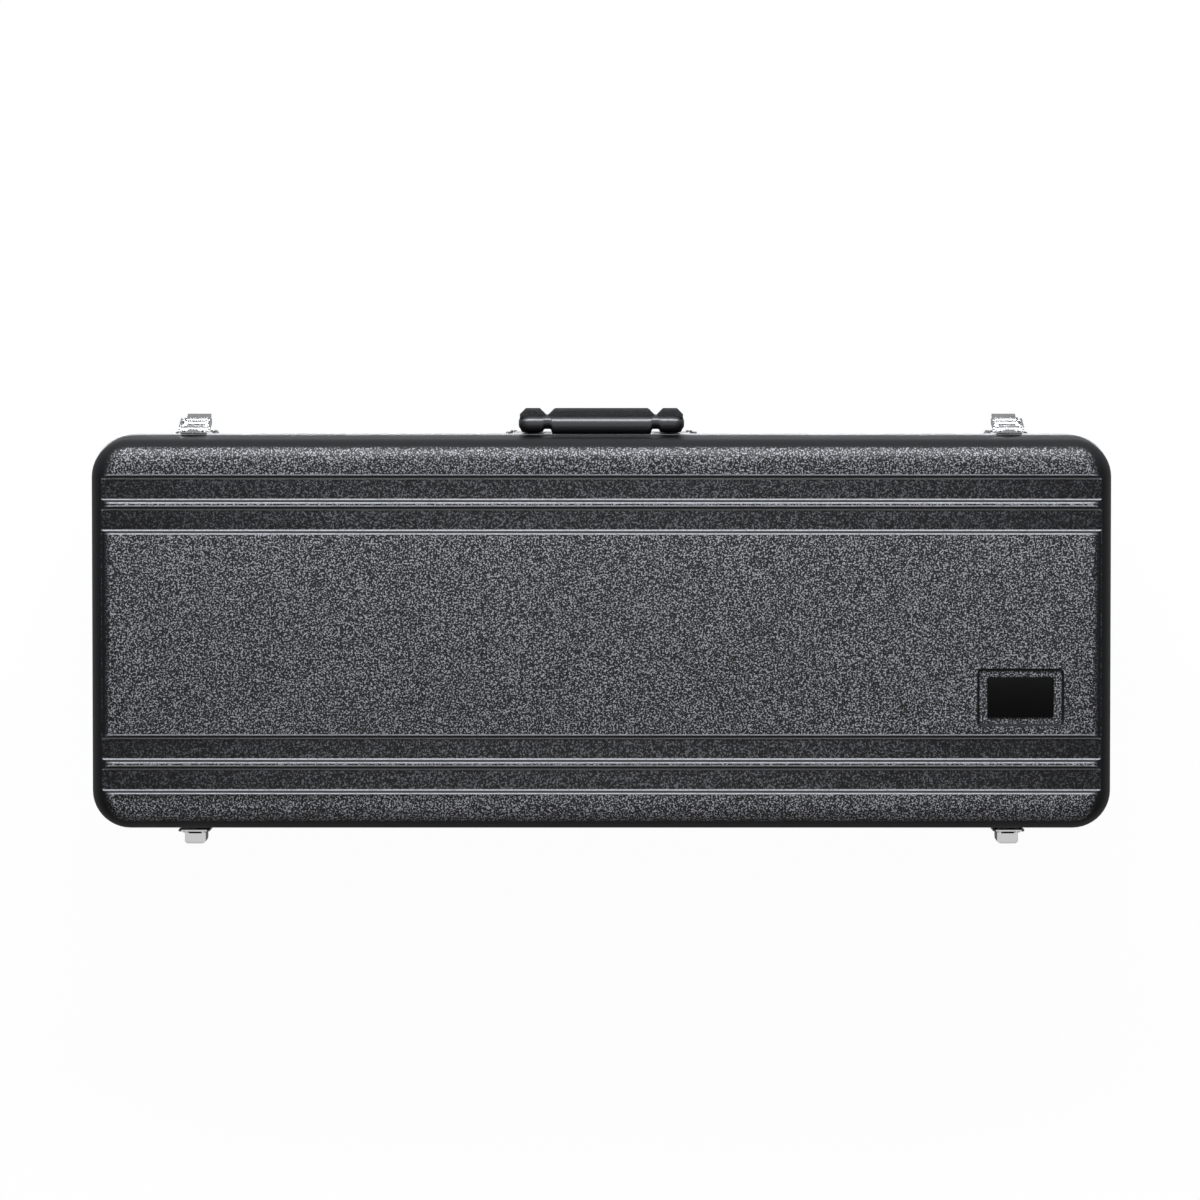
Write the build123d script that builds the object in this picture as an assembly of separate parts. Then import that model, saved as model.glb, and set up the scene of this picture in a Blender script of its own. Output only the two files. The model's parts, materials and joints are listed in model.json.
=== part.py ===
from build123d import *
import math
import os

# Overall size of the closed case. X is its length, Y its width, with the handle on the +Y side, and Z is up.
case_length = 850.0
case_width = 328.0
base_depth = 108.0
lid_depth = 86.0
corner_radius = 34.0
edge_round = 20.0
wall = 3.2
draft = 3.0  # degrees that the walls lean in above the rim
rim_height = 18.0  # straight part of the wall, which the valance covers
parting_gap = 0.3  # between the two halves when shut
overcut = 1.0  # how far a cutting shape runs past the face that it cuts

# Recessed bands along both faces, measured across from the middle of the face
band_inner_edge = 83.3
band_land = 107.3
band_land_width = 2.6
band_outer_edge = 131.8
band_depth = 3.0
band_fillet = 1.0

# Label pocket in the lid, and the bare plate in it
label_end_distance = 78.5
label_side_distance = 112.0
pocket_length = 72.0
pocket_width = 48.0
pocket_depth = 2.2
pocket_slope = 45.0
plate_length = 55.0
plate_width = 33.5
plate_thick = 1.0
label_corner = 2.0

# Aluminium valance: a leg outside each rim, with a tongue on the lid and a groove on the base
valance_thick = 1.2
valance_height = 16.0
tongue_thick = 2.0
tongue_length = 3.0
tongue_clearance = 0.6

# Foam blocks covered with plush, and the hollow that they leave for the instrument
foam_clearance = 0.3
foam_recess = 1.0
base_hollow_depth = 88.0
lid_hollow_depth = 66.0
body_top_end_distance = 75.0
body_top_side_distance = 86.0
body_bow_end_distance = 107.0
body_bow_side_distance = 104.0
bell_bow_end_distance = 129.0
bell_bow_side_distance = 140.0
bell_length = 306.0
bell_mouth_side_distance = 110.0
body_top_radius = 32.0
body_bow_radius = 46.0
bell_bow_radius = 50.0
bell_mouth_radius = 82.0
accessory_end_distance = 170.0
accessory_side_distance = 102.0
accessory_length = 230.0
accessory_width = 116.0
accessory_corner = 14.0

# Hardware
sheet = 1.5
latch_end_distance = 83.5
hinge_end_distance = 84.5
rivet_radius = 1.6
rivet_head_radius = 2.8
rivet_head = 1.2
pin_clearance = 0.06
rivet_clearance = 0.05
foot_bite = 0.2  # how far an ear's foot reaches into its plate

# Draw latch: a lever on a plate, and a bail that hooks behind the keeper
latch_plate_width = 34.0
latch_plate_height = 44.0
latch_plate_top = 2.0
latch_plate_corner = 4.0
lever_pivot_out = 6.5
lever_pivot_drop = 11.0
bail_offset_out = 5.2
bail_offset_drop = 2.0
lever_pin_radius = 1.8
bail_pin_radius = 1.3
ear_gap = 9.6
ear_radius = 4.0
flange_gap = 7.9
flange_thick = 1.4
lever_half_width = 10.0
lever_front = 13.3
lever_length = 38.0
lever_top_rise = 1.0
lever_pin_eye = 3.2
link_eye = 2.4
flange_toe = 1.4
flange_toe_inset = 1.0
flange_reach = 12.0
flare_outer_rise = 7.0
flare_inner_rise = 6.0
flare_outer = 3.0
flare_inner = 2.2
pin_end_clearance = 0.3
bail_gap = 11.6
bail_thick = 1.4
bail_bar_radius = 1.2
bail_bar_out = 5.0
bail_bar_rise = 11.0
bail_bar_eye = 2.0
bar_clearance = 0.3
keeper_width = 22.0
keeper_ledge_width = 16.0
keeper_height = 34.0
keeper_foot = 2.0
keeper_lip_gap = 1.0
keeper_corner = 2.0
keeper_shoulder = 0.55  # where the shield starts to run in, as a share of its height
keeper_root = 0.5
latch_rivet_x = 13.2
latch_rivet_drops = (24.0, 39.0)
keeper_rivet_rise = 21.0
keeper_rivet_x = 6.0

# Handle, folded up against the lid
handle_plate_length = 161.0
handle_plate_height = 30.0
handle_plate_top = 9.0
handle_plate_corner = 8.0
handle_length = 138.0
handle_pivot_out = 12.0
handle_pivot_drop = 20.0
handle_boss_radius = 6.0
handle_boss_x = 58.0
handle_boss_width = 12.0
handle_pin_radius = 2.5
handle_ear_thick = 2.0
handle_ear_clearance = 0.4
handle_leg_width = 22.0
handle_leg_thick = 19.6
handle_leg_start = 12.0
handle_corner = 9.0
handle_edge_break = 2.0
handle_window_drop = 5.0
handle_boss_reach = 5.0
grip_half_length = 43.5
grip_thick = 21.8
grip_height = 23.0
grip_rise = 32.0
grip_slope = 4.0
grip_corner = 7.0
neck_thick = 13.4
neck_corner = 5.0
neck_height_step = 3.0
handle_rivet_x = (36.0, 74.0)

# Box hinges on the far side
hinge_axis_out = 8.0
hinge_pin_radius = 2.0
hinge_box_width = 17.5
hinge_box_out = 14.0
hinge_box_height = 27.0
hinge_box_round = 3.0
hinge_knuckle_radius = 4.0
hinge_cheek_clearance = 0.35
hinge_plate_width = 26.0
hinge_plate_height = 38.0
hinge_plate_start = 5.0
hinge_plate_corner = 3.0
hinge_web_gap = 1.0
hinge_foot_drop = 8.0
hinge_foot_height = 14.0
hinge_slot_length = 10.8
hinge_slot_width = 2.3
hinge_slot_out = 4.4
hinge_rivet_rise = 35.0
hinge_rivet_x = 7.0

groove_width = tongue_thick + 2 * tongue_clearance
groove_depth = tongue_length + tongue_clearance
rim_reach = wall + 2 * valance_thick + groove_width
plate_out = valance_thick
plate_face = plate_out + sheet
half_length = case_length / 2
half_width = case_width / 2
latch_x = half_length - latch_end_distance
hinge_x = half_length - hinge_end_distance
label_x = half_length - label_end_distance
label_y = label_side_distance - half_width
body_top = (body_top_end_distance - half_length, body_top_side_distance - half_width)
body_bow = (half_length - body_bow_end_distance, body_bow_side_distance - half_width)
bell_bow = (half_length - bell_bow_end_distance, half_width - bell_bow_side_distance)
bell_mouth = (bell_bow[0] - bell_length, half_width - bell_mouth_side_distance)
accessory_x = accessory_end_distance - half_length
accessory_y = half_width - accessory_side_distance

os.makedirs("parts", exist_ok=True)


def save(name, shape):
    """Writes one node."""
    export_step(shape, f"parts/{name}.step")


def plan(inset):
    """The case's outline from above, drawn in by an inset."""
    return RectangleRounded(case_length - 2 * inset, case_width - 2 * inset, corner_radius - inset)


def ring(outer, inner, low, high):
    """A band round the case between two insets."""
    return extrude(Plane.XY.offset(low) * (plan(outer) - plan(inner)), high - low)


def notch(start, end, top):
    """Points of a recessed band with 45 degree sides."""
    floor = top - band_depth
    return [(start, top), (start + band_depth, floor), (end - band_depth, floor), (end, top)]


def face_section(top, inset):
    """The section across the case under its face, with the recessed bands."""
    spread = inset * math.tan(math.radians(22.5))
    if inset:
        side = notch(band_inner_edge - spread, band_outer_edge + spread, top)
    else:
        half_land = band_land_width / 2
        side = notch(band_inner_edge, band_land - half_land, top)
        side += notch(band_land + half_land, band_outer_edge, top)
    other = [(-y, z) for y, z in reversed(side)]
    reach = case_width / 2 + edge_round
    corners = other + side
    outline = [(-reach, -edge_round), (-reach, top)] + corners + [(reach, top), (reach, -edge_round)]
    face = make_face(Polyline(*outline, close=True))
    rounded = [v for v in face.vertices() if abs(v.X) < band_outer_edge + edge_round]
    return fillet(rounded, band_fillet)


def half_form(depth, inset):
    """One half of the case as a solid: straight at the rim, leaning in above it, with a rounded edge."""
    height = depth - inset
    form = extrude(plan(inset), rim_height)
    form += extrude(Plane.XY.offset(rim_height) * plan(inset), height - rim_height, taper=draft)
    top_edges = form.faces().sort_by(Axis.Z)[-1].edges()
    form = fillet(top_edges, edge_round - inset)
    across = extrude(Plane.YZ * face_section(height, inset), case_length, both=True)
    return form & across


def half_shell(depth):
    """The moulded shell of one half, standing on its rim."""
    shell = half_form(depth, 0) - half_form(depth, wall)
    return shell - ring(-edge_round, corner_radius - overcut, -overcut, valance_thick)


def slab(low, high):
    """Everything between two heights."""
    sheet_plan = Rectangle(2 * case_length, 2 * case_width)
    return extrude(Plane.XY.offset(low) * sheet_plan, high - low)


def foam(depth):
    """The foam that fills one half, cut back round the rim for the valance."""
    block = half_form(depth, wall + foam_clearance)
    rim_top = groove_depth + valance_thick + foam_clearance
    rim_cut = ring(0, rim_reach + foam_clearance, -overcut, rim_top)
    return (block - rim_cut) & slab(foam_recess, depth)


def tapered_channel(start, start_radius, end, end_radius):
    """A channel from above: two circles and the lines that touch both."""
    first = Pos(*start) * Circle(start_radius)
    second = Pos(*end) * Circle(end_radius)
    return make_hull(first.edges() + second.edges())


def instrument_plan():
    """The hollow from above: the conical body, the bow and the flared bell."""
    hollow = tapered_channel(body_top, body_top_radius, body_bow, body_bow_radius)
    hollow += tapered_channel(body_bow, body_bow_radius, bell_bow, bell_bow_radius)
    hollow += tapered_channel(bell_bow, bell_bow_radius, bell_mouth, bell_mouth_radius)
    return hollow


def foam_block(depth, hollow_depth, hollow):
    """The upper layer of foam, with the hollow right through it."""
    block = foam(depth) & slab(0, hollow_depth)
    return block - extrude(hollow, hollow_depth)


def foam_pad(depth, hollow_depth):
    """The layer of foam that the instrument lies on."""
    return foam(depth) & slab(hollow_depth, depth)


def lid_valance():
    """Leg outside the rim, web over it and the tongue that enters the base."""
    tongue_start = wall + valance_thick + tongue_clearance
    tongue_end = tongue_start + tongue_thick
    profile = ring(-valance_thick, 0, 0, valance_height)
    profile += ring(-valance_thick, tongue_end, 0, valance_thick)
    return profile + ring(tongue_start, tongue_end, -tongue_length, valance_thick)


def base_valance():
    """Leg outside the rim, web over it and the groove for the tongue."""
    groove_start = wall + valance_thick
    profile = ring(-valance_thick, 0, 0, valance_height)
    profile += ring(-valance_thick, rim_reach, 0, valance_thick)
    profile += ring(wall, rim_reach, 0, groove_depth + valance_thick)
    return profile - ring(groove_start, groove_start + groove_width, -overcut, groove_depth)


def to_lid(shape):
    """From a half standing on its rim to the lid's place."""
    return Pos(0, 0, base_depth + parting_gap) * shape


def to_base(shape):
    """From a half standing on its rim to the base's place, face down."""
    return Pos(0, 0, base_depth) * mirror(shape, about=Plane.XY)


def wall_plane(out):
    """A plane on the handle side, facing out: its y runs up the wall."""
    return Plane(origin=(0, out, 0), x_dir=(-1, 0, 0), z_dir=(0, 1, 0))


def wall_plate(width, bottom, top, corner, out=plate_out, thick=sheet):
    """A plate flat against the wall."""
    outline = Pos(0, (bottom + top) / 2) * RectangleRounded(width, top - bottom, corner)
    return extrude(wall_plane(out) * outline, thick)


def across_x(outline, start, end):
    """A side view carried along X."""
    return extrude(Plane.YZ.offset(start) * outline, end - start)


def mirrored(outline, start, end):
    """The same side view at both sides of the middle."""
    return across_x(outline, start, end) + across_x(outline, -end, -start)


def rod(radius, out, rise, start, end):
    """A round rod along X."""
    return across_x(Pos(out, rise) * Circle(radius), start, end)


def round_hull(*discs):
    """Outline round several discs, each given as out, rise and radius."""
    edges = ShapeList()
    for out, rise, radius in discs:
        edges += (Pos(out, rise) * Circle(radius)).edges()
    return make_hull(edges)


def ear_outline(out, rise, radius):
    """An ear from the plate round a pivot."""
    foot = Pos(plate_face - foot_bite, rise) * Rectangle(2 * foot_bite, 2 * radius)
    return make_hull((Pos(out, rise) * Circle(radius)).edges() + foot.edges())


def wall_disc(radius, x, rise, out, thick):
    """A disc flat against the wall."""
    at = Plane(origin=(x, out, rise), x_dir=(-1, 0, 0), z_dir=(0, 1, 0))
    return extrude(at * Circle(radius), thick)


def rivet_bodies(spots):
    """Rivets whose heads lie on a plate, at spots given as x and rise."""
    shanks = [wall_disc(rivet_radius, x, rise, plate_out, sheet) for x, rise in spots]
    heads = [wall_disc(rivet_head_radius, x, rise, plate_face, rivet_head) for x, rise in spots]
    return [shank + head for shank, head in zip(shanks, heads)]


def rivet_holes(shape, spots):
    """Clearance holes for rivets, right through."""
    for x, rise in spots:
        shape -= wall_disc(rivet_radius + rivet_clearance, x, rise, 0, plate_face + overcut)
    return shape


latch_spots = [(x, -drop) for x in (-latch_rivet_x, latch_rivet_x) for drop in latch_rivet_drops]
keeper_spots = [(x, keeper_rivet_rise) for x in (-keeper_rivet_x, keeper_rivet_x)]
hinge_lid_spots = [(x, hinge_rivet_rise) for x in (-hinge_rivet_x, hinge_rivet_x)]
hinge_base_spots = [(x, -hinge_rivet_rise) for x in (-hinge_rivet_x, hinge_rivet_x)]
handle_spots = [(x * side, -handle_pivot_drop) for x in handle_rivet_x for side in (-1, 1)]
lever_pivot = (lever_pivot_out, -lever_pivot_drop)
bail_pivot = (lever_pivot_out + bail_offset_out, -lever_pivot_drop - bail_offset_drop)


def latch_plate():
    """Plate on the base with two ears for the lever's pin."""
    bottom = -latch_plate_top - latch_plate_height
    plate = wall_plate(latch_plate_width, bottom, -latch_plate_top, latch_plate_corner)
    plate += mirrored(ear_outline(*lever_pivot, ear_radius), ear_gap, ear_gap + sheet)
    end = ear_gap + sheet + overcut
    plate -= rod(lever_pin_radius + pin_clearance, *lever_pivot, -end, end)
    return rivet_holes(plate, latch_spots)


def latch_lever():
    """Pressed lever: two side flanges round both pins and a front that flares at its tip."""
    top = bail_pivot[1] + lever_top_rise
    tip = -lever_pivot_drop - lever_length
    toe = (lever_front - flange_toe_inset, top - flange_reach, flange_toe)
    flange = round_hull((*lever_pivot, lever_pin_eye), (*bail_pivot, link_eye), toe)
    sides = mirrored(flange, flange_gap, flange_gap + flange_thick)
    front_outline = make_face(
        Polyline(
            (lever_front, top),
            (lever_front + sheet, top),
            (lever_front + sheet, tip + flare_outer_rise),
            (lever_front + sheet + flare_outer, tip),
            (lever_front + flare_inner, tip),
            (lever_front, tip + flare_inner_rise),
            close=True,
        )
    )
    lever = sides + across_x(front_outline, -lever_half_width, lever_half_width)
    end = flange_gap + flange_thick + overcut
    lever -= rod(lever_pin_radius + pin_clearance, *lever_pivot, -end, end)
    return lever - rod(bail_pin_radius + rivet_clearance, *bail_pivot, -end, end)


def latch_bail():
    """Two arms and the bar that lies behind the keeper's lip."""
    arm = round_hull((*bail_pivot, link_eye), (bail_bar_out, bail_bar_rise, bail_bar_eye))
    bail = mirrored(arm, bail_gap, bail_gap + bail_thick)
    bail += rod(bail_bar_radius, bail_bar_out, bail_bar_rise, -bail_gap, bail_gap)
    end = bail_gap + bail_thick + overcut
    return bail - rod(bail_pin_radius + pin_clearance, *bail_pivot, -end, end)


def keeper():
    """Shield plate on the lid with a ledge and an upturned lip for the bail."""
    half = keeper_width / 2
    shoulder = keeper_foot + keeper_height * keeper_shoulder
    shield = make_face(
        Polyline(
            (-half, keeper_foot),
            (half, keeper_foot),
            (half, shoulder),
            (0, keeper_foot + keeper_height),
            (-half, shoulder),
            close=True,
        )
    )
    plate = extrude(wall_plane(plate_out) * fillet(shield.vertices(), keeper_corner), sheet)
    ledge_top = bail_bar_rise - bail_bar_radius - bar_clearance
    lip_inner = bail_bar_out + bail_bar_radius + keeper_lip_gap
    lip_top = bail_bar_rise - bar_clearance
    ledge = make_face(
        Polyline(
            (plate_face - keeper_root, ledge_top - sheet),
            (lip_inner + sheet, ledge_top - sheet),
            (lip_inner + sheet, lip_top),
            (lip_inner, lip_top),
            (lip_inner, ledge_top),
            (plate_face - keeper_root, ledge_top),
            close=True,
        )
    )
    plate += across_x(ledge, -keeper_ledge_width / 2, keeper_ledge_width / 2)
    return rivet_holes(plate, keeper_spots)


def handle_plate():
    """Long plate with a pair of ears at each end of the handle."""
    bottom = -handle_plate_top - handle_plate_height
    plate = wall_plate(handle_plate_length, bottom, -handle_plate_top, handle_plate_corner)
    ear = ear_outline(handle_pivot_out, -handle_pivot_drop, handle_boss_radius)
    reach = handle_boss_width / 2 + handle_ear_clearance
    for start in (handle_boss_x - reach - handle_ear_thick, handle_boss_x + reach):
        plate += mirrored(ear, start, start + handle_ear_thick)
    end = handle_plate_length / 2
    bore = handle_pin_radius + pin_clearance
    plate -= rod(bore, handle_pivot_out, -handle_pivot_drop, -end, end)
    return rivet_holes(plate, handle_spots)


def handle_pins():
    """A pin through each pair of ears."""
    reach = handle_boss_width / 2 + handle_ear_clearance + handle_ear_thick
    spans = [(side * handle_boss_x - reach, side * handle_boss_x + reach) for side in (-1, 1)]
    return [rod(handle_pin_radius, handle_pivot_out, -handle_pivot_drop, *span) for span in spans]


def handle_grip():
    """Moulded handle: two legs on bosses, slim necks and a thick grip with sloped ends."""
    half = handle_length / 2
    leg_bottom = handle_leg_start - handle_pivot_drop
    top = grip_rise + grip_height / 2
    inner = half - handle_leg_width
    legs = RectangleRounded(handle_length, top - leg_bottom, handle_corner)
    legs = Pos(0, (leg_bottom + top) / 2) * legs
    window_top = grip_rise - grip_height / 2
    window = Rectangle(2 * inner, window_top - leg_bottom + 2 * handle_window_drop)
    window = Pos(0, (leg_bottom + window_top) / 2 - handle_window_drop) * window
    start = handle_pivot_out - handle_leg_thick / 2
    frame = extrude(wall_plane(start) * (legs - window), handle_leg_thick)
    frame = chamfer(frame.edges().filter_by(Axis.Z).group_by(Axis.X)[0], handle_edge_break)
    frame = chamfer(frame.edges().filter_by(Axis.Z).group_by(Axis.X)[-1], handle_edge_break)
    for side in (-1, 1):
        for face in (-1, 1):
            depth = (handle_leg_thick - neck_thick) / 2
            out = handle_pivot_out + face * (handle_leg_thick / 2 - depth / 2)
            neck_x = side * (grip_half_length + inner) / 2
            cut = Pos(neck_x, out, grip_rise) * Box(inner - grip_half_length, depth, grip_height)
            frame -= cut
    section = Pos(handle_pivot_out, grip_rise) * RectangleRounded(grip_thick, grip_height, grip_corner)
    slim = RectangleRounded(neck_thick, grip_height - neck_height_step, neck_corner)
    slim = Pos(handle_pivot_out, grip_rise) * slim
    middle = grip_half_length - grip_slope
    grip = across_x(section, -middle, middle)
    for side in (-1, 1):
        sloped = [Plane.YZ.offset(side * middle) * section, Plane.YZ.offset(side * grip_half_length) * slim]
        grip += loft(Sketch() + sloped)
    boss = round_hull(
        (handle_pivot_out, -handle_pivot_drop, handle_boss_radius),
        (handle_pivot_out, leg_bottom + handle_boss_reach, handle_boss_radius),
    )
    low = handle_boss_x - handle_boss_width / 2
    handle = frame + grip + mirrored(boss, low, low + handle_boss_width)
    bore = handle_pin_radius + pin_clearance
    return handle - rod(bore, handle_pivot_out, -handle_pivot_drop, -half, half)


def hinge_lid_leaf():
    """Plate and hollow box on the lid, with a slot in its end and cheeks down to the pin."""
    start = hinge_plate_start
    leaf = wall_plate(hinge_plate_width, start, start + hinge_plate_height, hinge_plate_corner)
    depth = hinge_box_out - plate_out
    middle = (hinge_box_out + plate_out) / 2
    bottom = -hinge_knuckle_radius
    outline = Pos(0, middle) * Rectangle(hinge_box_width, depth)
    box = extrude(Plane.XY.offset(bottom) * outline, hinge_box_height - bottom)
    box = fillet(box.edges().filter_by(Axis.Z).group_by(Axis.Y)[-1], hinge_box_round)
    inner_depth = depth - 2 * sheet
    hollow = Pos(0, middle) * Rectangle(hinge_box_width - 2 * sheet, inner_depth)
    box -= extrude(Plane.XY.offset(bottom) * hollow, hinge_box_height - sheet - bottom)
    lowest_web = hinge_knuckle_radius + hinge_web_gap
    reach = hinge_box_out + overcut
    above = Pos(reach / 2, lowest_web + reach) * Rectangle(reach, 2 * reach)
    side_view = above + Pos(hinge_axis_out, 0) * Circle(hinge_knuckle_radius)
    neck = Pos(hinge_axis_out, lowest_web / 2) * Rectangle(2 * hinge_knuckle_radius, lowest_web)
    box &= across_x(side_view + neck, -hinge_box_width, hinge_box_width)
    slot = Pos(0, hinge_slot_out) * Rectangle(hinge_slot_length, hinge_slot_width)
    box -= extrude(Plane.XY.offset(hinge_box_height - 2 * sheet) * slot, 3 * sheet)
    leaf += box
    bore = hinge_pin_radius + pin_clearance
    leaf -= rod(bore, hinge_axis_out, 0, -hinge_box_width, hinge_box_width)
    return rivet_holes(leaf, hinge_lid_spots)


def hinge_base_leaf():
    """Plate on the base with two cheeks inside the lid's box."""
    start = -hinge_plate_start
    leaf = wall_plate(hinge_plate_width, start - hinge_plate_height, start, hinge_plate_corner)
    outer = hinge_box_width / 2 - sheet - hinge_cheek_clearance
    discs = (Pos(hinge_axis_out, 0) * Circle(hinge_knuckle_radius)).edges()
    foot = Rectangle(2 * foot_bite, hinge_foot_height)
    foot = Pos(plate_face - foot_bite, start - hinge_foot_drop) * foot
    cheek = make_hull(discs + foot.edges())
    leaf += mirrored(cheek, outer - sheet, outer)
    bore = hinge_pin_radius + pin_clearance
    leaf -= rod(bore, hinge_axis_out, 0, -hinge_box_width, hinge_box_width)
    return rivet_holes(leaf, hinge_base_spots)


def on_front(shape, x=0.0, lid=False):
    """From the wall's own frame to its place on the handle side."""
    rise = base_depth + (parting_gap if lid else 0)
    return Pos(x, case_width / 2, rise) * shape


def on_back(shape, x=0.0):
    """From the wall's own frame to its place on the hinge side."""
    return Pos(x, -case_width / 2, base_depth) * Rot(0, 0, 180) * shape


lid_shell = half_shell(lid_depth)
pocket_floor = (pocket_length - 2 * pocket_depth, pocket_width - 2 * pocket_depth)
pocket = Pos(label_x, label_y) * RectangleRounded(*pocket_floor, label_corner)
lid_shell -= extrude(Plane.XY.offset(lid_depth - pocket_depth) * pocket, pocket_depth, taper=-pocket_slope)
save("lid_shell", to_lid(lid_shell))
save("base_shell", to_base(half_shell(base_depth)))
save("lid_valance", to_lid(lid_valance()))
save("base_valance", to_base(base_valance()))

label = Pos(label_x, label_y) * RectangleRounded(plate_length, plate_width, label_corner)
label_low = lid_depth - pocket_depth
save("label_plate", to_lid(extrude(Plane.XY.offset(label_low) * label, plate_thick)))

hollow_plan = instrument_plan()
accessory_plan = Pos(accessory_x, accessory_y) * RectangleRounded(
    accessory_length, accessory_width, accessory_corner
)
base_hollows = hollow_plan + accessory_plan
save("base_foam_block", to_base(foam_block(base_depth, base_hollow_depth, base_hollows)))
save("base_foam_pad", to_base(foam_pad(base_depth, base_hollow_depth)))
save("lid_foam_block", to_lid(foam_block(lid_depth, lid_hollow_depth, hollow_plan)))
save("lid_foam_pad", to_lid(foam_pad(lid_depth, lid_hollow_depth)))

for name, side in (("left", -1), ("right", 1)):
    x = side * latch_x
    pin_end = bail_gap - pin_end_clearance
    save(f"latch_{name}_plate", on_front(latch_plate(), x))
    save(f"latch_{name}_pin", on_front(rod(lever_pin_radius, *lever_pivot, -pin_end, pin_end), x))
    save(f"latch_{name}_lever", on_front(latch_lever(), x))
    link_end = bail_gap + bail_thick
    save(f"latch_{name}_bail_pin", on_front(rod(bail_pin_radius, *bail_pivot, -link_end, link_end), x))
    save(f"latch_{name}_bail", on_front(latch_bail(), x))
    save(f"keeper_{name}", on_front(keeper(), x))
    at_hinge = side * hinge_x
    half_pin = hinge_box_width / 2
    save(f"hinge_{name}_lid_leaf", on_back(hinge_lid_leaf(), at_hinge))
    save(f"hinge_{name}_base_leaf", on_back(hinge_base_leaf(), at_hinge))
    hinge_pin = rod(hinge_pin_radius, hinge_axis_out, 0, -half_pin, half_pin)
    save(f"hinge_{name}_pin", on_back(hinge_pin, at_hinge))

save("handle_plate", on_front(handle_plate()))
save("handle_pins", Compound(children=[on_front(pin) for pin in handle_pins()]))
save("handle_grip", on_front(handle_grip()))


def rivet_group(spots, place, x):
    """The rivets of one kind of hardware at both ends of the case."""
    return [place(rivet, side * x) for side in (-1, 1) for rivet in rivet_bodies(spots)]


save("latch_rivets", Compound(children=rivet_group(latch_spots, on_front, latch_x)))
save("keeper_rivets", Compound(children=rivet_group(keeper_spots, on_front, latch_x)))
save("hinge_base_rivets", Compound(children=rivet_group(hinge_base_spots, on_back, hinge_x)))
save("hinge_lid_rivets", Compound(children=rivet_group(hinge_lid_spots, on_back, hinge_x)))
save("handle_rivets", Compound(children=[on_front(rivet) for rivet in rivet_bodies(handle_spots)]))
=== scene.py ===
import json
import math

import bpy
import numpy as np
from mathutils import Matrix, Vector


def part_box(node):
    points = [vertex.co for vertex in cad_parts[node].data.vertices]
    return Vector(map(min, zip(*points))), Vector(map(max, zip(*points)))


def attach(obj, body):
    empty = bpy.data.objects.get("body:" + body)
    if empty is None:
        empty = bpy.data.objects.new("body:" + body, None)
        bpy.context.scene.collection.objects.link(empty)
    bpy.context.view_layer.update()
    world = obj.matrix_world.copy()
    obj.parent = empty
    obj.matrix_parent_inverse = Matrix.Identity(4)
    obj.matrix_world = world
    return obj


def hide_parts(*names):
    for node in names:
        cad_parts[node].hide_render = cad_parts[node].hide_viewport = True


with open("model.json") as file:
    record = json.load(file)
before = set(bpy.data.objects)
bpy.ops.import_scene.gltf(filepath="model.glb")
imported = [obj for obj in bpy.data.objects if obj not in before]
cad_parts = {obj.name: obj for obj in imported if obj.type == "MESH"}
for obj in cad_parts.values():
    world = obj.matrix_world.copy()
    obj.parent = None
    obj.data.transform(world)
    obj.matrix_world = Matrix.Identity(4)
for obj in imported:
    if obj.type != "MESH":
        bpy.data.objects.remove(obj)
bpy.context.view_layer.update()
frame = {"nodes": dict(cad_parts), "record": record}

nodes = frame["nodes"]
print("case loaded:", len(nodes), "solids")

# the camera stands over the lid, a little towards the handle
cameraView = {
    "distance": 4.5,  # from the rim plane
    "tiltDegrees": 2.25,
    "aim": (-0.0012, 0.0252, 0.108),
    "pixelsPerMetre": 1187.6,  # of the photograph, at the rim
    "imagePixels": 1200,
    "sensor": 36.0,
    "clipEnd": 50,
}


def makeCamera(look):
    tilt = math.radians(look["tiltDegrees"])
    data = bpy.data.cameras.new("caseCamera")
    data.sensor_width = look["sensor"]
    data.lens = look["pixelsPerMetre"] * look["distance"] / look["imagePixels"] * look["sensor"]
    data.clip_end = look["clipEnd"]
    camera = bpy.data.objects.new("caseCamera", data)
    bpy.context.scene.collection.objects.link(camera)
    back = Vector((0, math.sin(tilt), math.cos(tilt)))
    camera.location = Vector(look["aim"]) + back * look["distance"]
    camera.rotation_euler = (-tilt, 0, 0)
    bpy.context.scene.camera = camera


makeCamera(cameraView)
print("camera set")


# small helpers for node materials
def newMaterial(name):
    material = bpy.data.materials.new(name)
    material.use_nodes = True
    tree = material.node_tree
    return material, tree, tree.nodes["Principled BSDF"]


def setSockets(tree, node, wanted):
    # another node's output is linked to its socket, and a plain value is set on it
    for key, value in wanted.items():
        if isinstance(value, bpy.types.NodeSocket):
            tree.links.new(value, node.inputs[key])
        else:
            node.inputs[key].default_value = value


def addNode(tree, kind, inputs=None, **settings):
    node = tree.nodes.new(kind)
    for key, value in settings.items():
        setattr(node, key, value)
    setSockets(tree, node, inputs or {})
    return node


def objectPoint(tree, scale=(1, 1, 1), turn=(0, 0, 0)):
    point = addNode(tree, "ShaderNodeTexCoord").outputs["Object"]
    mapping = addNode(tree, "ShaderNodeMapping", {"Vector": point, "Scale": scale, "Rotation": turn})
    return mapping.outputs["Vector"]


def noiseField(tree, point, scale, detail=2.0, roughness=0.5):
    wanted = {"Vector": point, "Scale": scale, "Detail": detail, "Roughness": roughness}
    return addNode(tree, "ShaderNodeTexNoise", wanted).outputs["Fac"]


def remap(tree, value, low, high, newLow=0.0, newHigh=1.0):
    wanted = {"Value": value, "From Min": low, "From Max": high, "To Min": newLow, "To Max": newHigh}
    return addNode(tree, "ShaderNodeMapRange", wanted, interpolation_type="SMOOTHSTEP").outputs["Result"]


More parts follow.
